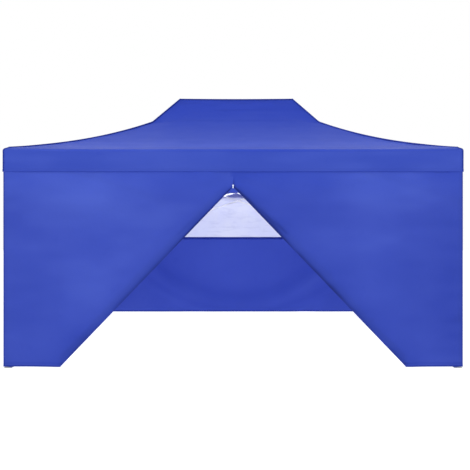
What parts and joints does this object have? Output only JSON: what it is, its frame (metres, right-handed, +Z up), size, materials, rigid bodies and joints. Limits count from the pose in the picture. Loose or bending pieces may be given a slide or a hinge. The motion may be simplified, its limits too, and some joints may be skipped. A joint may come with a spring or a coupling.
{
  "type": "pop up gazebo",
  "caption": "Rectangular hipped pop up gazebo on a folding scissor frame, with four fabric walls, a tied back door and a clear window.",
  "frame": {"origin": "on the ground below the middle of the canopy", "axes": "+Z up, X along the ridge, the door side faces -Y"},
  "size_m": [4.4024, 2.989, 3.04],
  "materials": {
    "frame_steel": "light grey powder coat, satin",
    "leg_zinc": "galvanised steel, dull",
    "joint_plastic": "moulded nylon, matt",
    "button_metal": "plated steel push button",
    "blue_fabric": "coated woven polyester, royal blue",
    "window_film": "clear film, slightly milky"
  },
  "bodies": {
    "mast_hub_left": {"mast_hub_left": "joint_plastic", "canopy": "blue_fabric"},
    "ridge_bar_2a": {"ridge_bar_2a": "frame_steel"},
    "ridge_bar_2b": {"ridge_bar_2b": "frame_steel"},
    "mast_left": {"mast_left": "frame_steel"},
    "mast_hub_right": {"mast_hub_right": "joint_plastic"},
    "mast_right": {"mast_right": "frame_steel"},
    "ridge_bar_1b": {"ridge_bar_1b": "frame_steel"},
    "ridge_bar_1a": {"ridge_bar_1a": "frame_steel"},
    "connector_upper_left": {"connector_upper_left": "joint_plastic"},
    "connector_lower_left": {"connector_lower_left": "joint_plastic"},
    "ridge_bar_3b": {"ridge_bar_3b": "frame_steel"},
    "ridge_bar_3a": {"ridge_bar_3a": "frame_steel"},
    "connector_upper_right": {"connector_upper_right": "joint_plastic"},
    "connector_lower_right": {"connector_lower_right": "joint_plastic"},
    "left_bar_front_a": {"left_bar_front_a": "frame_steel"},
    "left_bar_front_b": {"left_bar_front_b": "frame_steel"},
    "leg_outer_front_left": {"leg_outer_front_left": "frame_steel", "front_wall": "blue_fabric", "left_wall": "blue_fabric"},
    "slider_front_left": {"slider_front_left": "joint_plastic"},
    "left_bar_back_a": {"left_bar_back_a": "frame_steel"},
    "left_bar_back_b": {"left_bar_back_b": "frame_steel"},
    "leg_outer_back_left": {"leg_outer_back_left": "frame_steel"},
    "slider_back_left": {"slider_back_left": "joint_plastic"},
    "right_bar_front_a": {"right_bar_front_a": "frame_steel"},
    "right_bar_front_b": {"right_bar_front_b": "frame_steel"},
    "leg_outer_front_right": {"leg_outer_front_right": "frame_steel"},
    "slider_front_right": {"slider_front_right": "joint_plastic"},
    "right_bar_back_a": {"right_bar_back_a": "frame_steel"},
    "right_bar_back_b": {"right_bar_back_b": "frame_steel"},
    "leg_outer_back_right": {"leg_outer_back_right": "frame_steel", "back_wall": "blue_fabric", "window": "window_film", "right_wall": "blue_fabric"},
    "slider_back_right": {"slider_back_right": "joint_plastic"},
    "front_bar_1a": {"front_bar_1a": "frame_steel"},
    "front_bar_1b": {"front_bar_1b": "frame_steel"},
    "front_bar_2a": {"front_bar_2a": "frame_steel"},
    "front_bar_2b": {"front_bar_2b": "frame_steel"},
    "front_bar_3b": {"front_bar_3b": "frame_steel"},
    "front_bar_3a": {"front_bar_3a": "frame_steel"},
    "back_bar_1a": {"back_bar_1a": "frame_steel"},
    "back_bar_1b": {"back_bar_1b": "frame_steel"},
    "back_bar_2a": {"back_bar_2a": "frame_steel"},
    "back_bar_2b": {"back_bar_2b": "frame_steel"},
    "back_bar_3b": {"back_bar_3b": "frame_steel"},
    "back_bar_3a": {"back_bar_3a": "frame_steel"},
    "leg_inner_front_left": {"leg_inner_front_left": "leg_zinc"},
    "leg_button_front_left": {"leg_button_front_left": "button_metal"},
    "slider_latch_front_left": {"slider_latch_front_left": "button_metal"},
    "leg_inner_front_right": {"leg_inner_front_right": "leg_zinc"},
    "leg_button_front_right": {"leg_button_front_right": "button_metal"},
    "slider_latch_front_right": {"slider_latch_front_right": "button_metal"},
    "leg_inner_back_left": {"leg_inner_back_left": "leg_zinc"},
    "leg_button_back_left": {"leg_button_back_left": "button_metal"},
    "slider_latch_back_left": {"slider_latch_back_left": "button_metal"},
    "leg_inner_back_right": {"leg_inner_back_right": "leg_zinc"},
    "leg_button_back_right": {"leg_button_back_right": "button_metal"},
    "slider_latch_back_right": {"slider_latch_back_right": "button_metal"}
  },
  "joints": [
    {"name": "frame_fold", "type": "hinge", "parent": "mast_hub_left", "child": "ridge_bar_2a", "pos_m": [-0.69967, 0, 2.06], "axis": [0, 1, 0], "range_deg": [0, 68], "deforming": ["canopy", "front_wall", "back_wall", "left_wall", "right_wall", "window"]},
    {"name": "ridge_bar_2b_pivot", "type": "hinge", "parent": "ridge_bar_2a", "child": "ridge_bar_2b", "pos_m": [0, 0, 1.83266], "axis": [0, 1, 0], "range_deg": [-137, 1]},
    {"name": "mast_left_pivot", "type": "hinge", "parent": "ridge_bar_2b", "child": "mast_left", "pos_m": [-0.69967, 0, 1.60533], "axis": [0, 1, 0], "range_deg": [-1, 69]},
    {"name": "mast_hub_right_pivot", "type": "hinge", "parent": "ridge_bar_2b", "child": "mast_hub_right", "pos_m": [0.69967, 0, 2.06], "axis": [0, 1, 0], "range_deg": [-1, 69]},
    {"name": "mast_right_pivot", "type": "hinge", "parent": "ridge_bar_2a", "child": "mast_right", "pos_m": [0.69967, 0, 1.60533], "axis": [0, 1, 0], "range_deg": [-69, 1]},
    {"name": "ridge_bar_1b_pivot", "type": "hinge", "parent": "mast_hub_left", "child": "ridge_bar_1b", "pos_m": [-0.75567, 0, 2.06], "axis": [0, 1, 0], "range_deg": [-69, 1]},
    {"name": "ridge_bar_1a_pivot", "type": "hinge", "parent": "ridge_bar_1b", "child": "ridge_bar_1a", "pos_m": [-1.45533, 0, 1.83266], "axis": [0, 1, 0], "range_deg": [-1, 137]},
    {"name": "connector_upper_left_pivot", "type": "hinge", "parent": "ridge_bar_1a", "child": "connector_upper_left", "pos_m": [-2.155, 0, 2.06], "axis": [0, 1, 0], "range_deg": [-69, 1]},
    {"name": "connector_lower_left_pivot", "type": "hinge", "parent": "ridge_bar_1b", "child": "connector_lower_left", "pos_m": [-2.155, 0, 1.60533], "axis": [0, 1, 0], "range_deg": [-1, 69]},
    {"name": "ridge_bar_3b_pivot", "type": "hinge", "parent": "mast_right", "child": "ridge_bar_3b", "pos_m": [0.75567, 0, 1.60533], "axis": [0, 1, 0], "range_deg": [-69, 1]},
    {"name": "ridge_bar_3a_pivot", "type": "hinge", "parent": "ridge_bar_3b", "child": "ridge_bar_3a", "pos_m": [1.45533, 0, 1.83266], "axis": [0, 1, 0], "range_deg": [-1, 137]},
    {"name": "connector_upper_right_pivot", "type": "hinge", "parent": "ridge_bar_3b", "child": "connector_upper_right", "pos_m": [2.155, 0, 2.06], "axis": [0, 1, 0], "range_deg": [-1, 69]},
    {"name": "connector_lower_right_pivot", "type": "hinge", "parent": "ridge_bar_3a", "child": "connector_lower_right", "pos_m": [2.155, 0, 1.60533], "axis": [0, 1, 0], "range_deg": [-69, 1]},
    {"name": "left_bar_front_a_pivot", "type": "hinge", "parent": "connector_upper_left", "child": "left_bar_front_a", "pos_m": [-2.175, -0.027, 2.06], "axis": [1, 0, 0], "range_deg": [-1, 69]},
    {"name": "left_bar_front_b_pivot", "type": "hinge", "parent": "left_bar_front_a", "child": "left_bar_front_b", "pos_m": [-2.175, -0.72667, 1.83266], "axis": [1, 0, 0], "range_deg": [-137, 1]},
    {"name": "leg_outer_front_left_pivot", "type": "hinge", "parent": "left_bar_front_b", "child": "leg_outer_front_left", "pos_m": [-2.175, -1.42633, 2.06], "axis": [1, 0, 0], "range_deg": [-1, 69]},
    {"name": "slider_front_left_pivot", "type": "hinge", "parent": "left_bar_front_a", "child": "slider_front_left", "pos_m": [-2.175, -1.42633, 1.60533], "axis": [1, 0, 0], "range_deg": [-69, 1]},
    {"name": "left_bar_back_a_pivot", "type": "hinge", "parent": "connector_upper_left", "child": "left_bar_back_a", "pos_m": [-2.175, 0.027, 2.06], "axis": [1, 0, 0], "range_deg": [-69, 1]},
    {"name": "left_bar_back_b_pivot", "type": "hinge", "parent": "left_bar_back_a", "child": "left_bar_back_b", "pos_m": [-2.175, 0.72667, 1.83266], "axis": [1, 0, 0], "range_deg": [-1, 137]},
    {"name": "leg_outer_back_left_pivot", "type": "hinge", "parent": "left_bar_back_b", "child": "leg_outer_back_left", "pos_m": [-2.175, 1.42633, 2.06], "axis": [1, 0, 0], "range_deg": [-69, 1]},
    {"name": "slider_back_left_pivot", "type": "hinge", "parent": "left_bar_back_a", "child": "slider_back_left", "pos_m": [-2.175, 1.42633, 1.60533], "axis": [1, 0, 0], "range_deg": [-1, 69]},
    {"name": "right_bar_front_a_pivot", "type": "hinge", "parent": "connector_upper_right", "child": "right_bar_front_a", "pos_m": [2.175, -0.027, 2.06], "axis": [1, 0, 0], "range_deg": [-1, 69]},
    {"name": "right_bar_front_b_pivot", "type": "hinge", "parent": "right_bar_front_a", "child": "right_bar_front_b", "pos_m": [2.175, -0.72667, 1.83266], "axis": [1, 0, 0], "range_deg": [-137, 1]},
    {"name": "leg_outer_front_right_pivot", "type": "hinge", "parent": "right_bar_front_b", "child": "leg_outer_front_right", "pos_m": [2.175, -1.42633, 2.06], "axis": [1, 0, 0], "range_deg": [-1, 69]},
    {"name": "slider_front_right_pivot", "type": "hinge", "parent": "right_bar_front_a", "child": "slider_front_right", "pos_m": [2.175, -1.42633, 1.60533], "axis": [1, 0, 0], "range_deg": [-69, 1]},
    {"name": "right_bar_back_a_pivot", "type": "hinge", "parent": "connector_upper_right", "child": "right_bar_back_a", "pos_m": [2.175, 0.027, 2.06], "axis": [1, 0, 0], "range_deg": [-69, 1]},
    {"name": "right_bar_back_b_pivot", "type": "hinge", "parent": "right_bar_back_a", "child": "right_bar_back_b", "pos_m": [2.175, 0.72667, 1.83266], "axis": [1, 0, 0], "range_deg": [-1, 137]},
    {"name": "leg_outer_back_right_pivot", "type": "hinge", "parent": "right_bar_back_b", "child": "leg_outer_back_right", "pos_m": [2.175, 1.42633, 2.06], "axis": [1, 0, 0], "range_deg": [-69, 1]},
    {"name": "slider_back_right_pivot", "type": "hinge", "parent": "right_bar_back_a", "child": "slider_back_right", "pos_m": [2.175, 1.42633, 1.60533], "axis": [1, 0, 0], "range_deg": [-1, 69]},
    {"name": "front_bar_1a_pivot", "type": "hinge", "parent": "leg_outer_front_left", "child": "front_bar_1a", "pos_m": [-2.099, -1.46833, 2.06], "axis": [0, 1, 0], "range_deg": [-1, 69]},
    {"name": "front_bar_1b_pivot", "type": "hinge", "parent": "front_bar_1a", "child": "front_bar_1b", "pos_m": [-1.39933, -1.46833, 1.83266], "axis": [0, 1, 0], "range_deg": [-137, 1]},
    {"name": "front_bar_2a_pivot", "type": "hinge", "parent": "front_bar_1b", "child": "front_bar_2a", "pos_m": [-0.69967, -1.46833, 2.06], "axis": [0, 1, 0], "range_deg": [-1, 137]},
    {"name": "front_bar_2b_pivot", "type": "hinge", "parent": "front_bar_2a", "child": "front_bar_2b", "pos_m": [0, -1.46833, 1.83266], "axis": [0, 1, 0], "range_deg": [-137, 1]},
    {"name": "front_bar_3b_pivot", "type": "hinge", "parent": "leg_outer_front_right", "child": "front_bar_3b", "pos_m": [2.099, -1.46833, 2.06], "axis": [0, 1, 0], "range_deg": [-69, 1]},
    {"name": "front_bar_3a_pivot", "type": "hinge", "parent": "front_bar_3b", "child": "front_bar_3a", "pos_m": [1.39933, -1.46833, 1.83266], "axis": [0, 1, 0], "range_deg": [-1, 137]},
    {"name": "back_bar_1a_pivot", "type": "hinge", "parent": "leg_outer_back_left", "child": "back_bar_1a", "pos_m": [-2.099, 1.46833, 2.06], "axis": [0, 1, 0], "range_deg": [-1, 69]},
    {"name": "back_bar_1b_pivot", "type": "hinge", "parent": "back_bar_1a", "child": "back_bar_1b", "pos_m": [-1.39933, 1.46833, 1.83266], "axis": [0, 1, 0], "range_deg": [-137, 1]},
    {"name": "back_bar_2a_pivot", "type": "hinge", "parent": "back_bar_1b", "child": "back_bar_2a", "pos_m": [-0.69967, 1.46833, 2.06], "axis": [0, 1, 0], "range_deg": [-1, 137]},
    {"name": "back_bar_2b_pivot", "type": "hinge", "parent": "back_bar_2a", "child": "back_bar_2b", "pos_m": [0, 1.46833, 1.83266], "axis": [0, 1, 0], "range_deg": [-137, 1]},
    {"name": "back_bar_3b_pivot", "type": "hinge", "parent": "leg_outer_back_right", "child": "back_bar_3b", "pos_m": [2.099, 1.46833, 2.06], "axis": [0, 1, 0], "range_deg": [-69, 1]},
    {"name": "back_bar_3a_pivot", "type": "hinge", "parent": "back_bar_3b", "child": "back_bar_3a", "pos_m": [1.39933, 1.46833, 1.83266], "axis": [0, 1, 0], "range_deg": [-1, 137]},
    {"name": "leg_slide_front_left", "type": "slide", "parent": "leg_outer_front_left", "child": "leg_inner_front_left", "axis": [0, 0, -1], "range_m": [-0.45, 0.08]},
    {"name": "leg_button_press_front_left", "type": "slide", "parent": "leg_outer_front_left", "child": "leg_button_front_left", "axis": [-1, 0, 0], "range_m": [0, 0.004], "stiffness_N_per_m": 400, "springref_m": -0.002},
    {"name": "slider_latch_press_front_left", "type": "slide", "parent": "slider_front_left", "child": "slider_latch_front_left", "axis": [-1, 0, 0], "range_m": [0, 0.004], "stiffness_N_per_m": 400, "springref_m": -0.002},
    {"name": "leg_slide_front_right", "type": "slide", "parent": "leg_outer_front_right", "child": "leg_inner_front_right", "axis": [0, 0, -1], "range_m": [-0.45, 0.08]},
    {"name": "leg_button_press_front_right", "type": "slide", "parent": "leg_outer_front_right", "child": "leg_button_front_right", "axis": [1, 0, 0], "range_m": [0, 0.004], "stiffness_N_per_m": 400, "springref_m": -0.002},
    {"name": "slider_latch_press_front_right", "type": "slide", "parent": "slider_front_right", "child": "slider_latch_front_right", "axis": [1, 0, 0], "range_m": [0, 0.004], "stiffness_N_per_m": 400, "springref_m": -0.002},
    {"name": "leg_slide_back_left", "type": "slide", "parent": "leg_outer_back_left", "child": "leg_inner_back_left", "axis": [0, 0, -1], "range_m": [-0.45, 0.08]},
    {"name": "leg_button_press_back_left", "type": "slide", "parent": "leg_outer_back_left", "child": "leg_button_back_left", "axis": [-1, 0, 0], "range_m": [0, 0.004], "stiffness_N_per_m": 400, "springref_m": -0.002},
    {"name": "slider_latch_press_back_left", "type": "slide", "parent": "slider_back_left", "child": "slider_latch_back_left", "axis": [-1, 0, 0], "range_m": [0, 0.004], "stiffness_N_per_m": 400, "springref_m": -0.002},
    {"name": "leg_slide_back_right", "type": "slide", "parent": "leg_outer_back_right", "child": "leg_inner_back_right", "axis": [0, 0, -1], "range_m": [-0.45, 0.08]},
    {"name": "leg_button_press_back_right", "type": "slide", "parent": "leg_outer_back_right", "child": "leg_button_back_right", "axis": [1, 0, 0], "range_m": [0, 0.004], "stiffness_N_per_m": 400, "springref_m": -0.002},
    {"name": "slider_latch_press_back_right", "type": "slide", "parent": "slider_back_right", "child": "slider_latch_back_right", "axis": [1, 0, 0], "range_m": [0, 0.004], "stiffness_N_per_m": 400, "springref_m": -0.002}
  ],
  "couplings": [
    {"joint": "ridge_bar_2b_pivot", "follows": "frame_fold", "ratio": -2},
    {"joint": "mast_left_pivot", "follows": "frame_fold", "ratio": 1},
    {"joint": "mast_hub_right_pivot", "follows": "frame_fold", "ratio": 1},
    {"joint": "mast_right_pivot", "follows": "frame_fold", "ratio": -1},
    {"joint": "ridge_bar_1b_pivot", "follows": "frame_fold", "ratio": -1},
    {"joint": "ridge_bar_1a_pivot", "follows": "frame_fold", "ratio": 2},
    {"joint": "connector_upper_left_pivot", "follows": "frame_fold", "ratio": -1},
    {"joint": "connector_lower_left_pivot", "follows": "frame_fold", "ratio": 1},
    {"joint": "ridge_bar_3b_pivot", "follows": "frame_fold", "ratio": -1},
    {"joint": "ridge_bar_3a_pivot", "follows": "frame_fold", "ratio": 2},
    {"joint": "connector_upper_right_pivot", "follows": "frame_fold", "ratio": 1},
    {"joint": "connector_lower_right_pivot", "follows": "frame_fold", "ratio": -1},
    {"joint": "left_bar_front_a_pivot", "follows": "frame_fold", "ratio": 1},
    {"joint": "left_bar_front_b_pivot", "follows": "frame_fold", "ratio": -2},
    {"joint": "leg_outer_front_left_pivot", "follows": "frame_fold", "ratio": 1},
    {"joint": "slider_front_left_pivot", "follows": "frame_fold", "ratio": -1},
    {"joint": "left_bar_back_a_pivot", "follows": "frame_fold", "ratio": -1},
    {"joint": "left_bar_back_b_pivot", "follows": "frame_fold", "ratio": 2},
    {"joint": "leg_outer_back_left_pivot", "follows": "frame_fold", "ratio": -1},
    {"joint": "slider_back_left_pivot", "follows": "frame_fold", "ratio": 1},
    {"joint": "right_bar_front_a_pivot", "follows": "frame_fold", "ratio": 1},
    {"joint": "right_bar_front_b_pivot", "follows": "frame_fold", "ratio": -2},
    {"joint": "leg_outer_front_right_pivot", "follows": "frame_fold", "ratio": 1},
    {"joint": "slider_front_right_pivot", "follows": "frame_fold", "ratio": -1},
    {"joint": "right_bar_back_a_pivot", "follows": "frame_fold", "ratio": -1},
    {"joint": "right_bar_back_b_pivot", "follows": "frame_fold", "ratio": 2},
    {"joint": "leg_outer_back_right_pivot", "follows": "frame_fold", "ratio": -1},
    {"joint": "slider_back_right_pivot", "follows": "frame_fold", "ratio": 1},
    {"joint": "front_bar_1a_pivot", "follows": "frame_fold", "ratio": 1},
    {"joint": "front_bar_1b_pivot", "follows": "frame_fold", "ratio": -2},
    {"joint": "front_bar_2a_pivot", "follows": "frame_fold", "ratio": 2},
    {"joint": "front_bar_2b_pivot", "follows": "frame_fold", "ratio": -2},
    {"joint": "front_bar_3b_pivot", "follows": "frame_fold", "ratio": -1},
    {"joint": "front_bar_3a_pivot", "follows": "frame_fold", "ratio": 2},
    {"joint": "back_bar_1a_pivot", "follows": "frame_fold", "ratio": 1},
    {"joint": "back_bar_1b_pivot", "follows": "frame_fold", "ratio": -2},
    {"joint": "back_bar_2a_pivot", "follows": "frame_fold", "ratio": 2},
    {"joint": "back_bar_2b_pivot", "follows": "frame_fold", "ratio": -2},
    {"joint": "back_bar_3b_pivot", "follows": "frame_fold", "ratio": -1},
    {"joint": "back_bar_3a_pivot", "follows": "frame_fold", "ratio": 2}
  ]
}
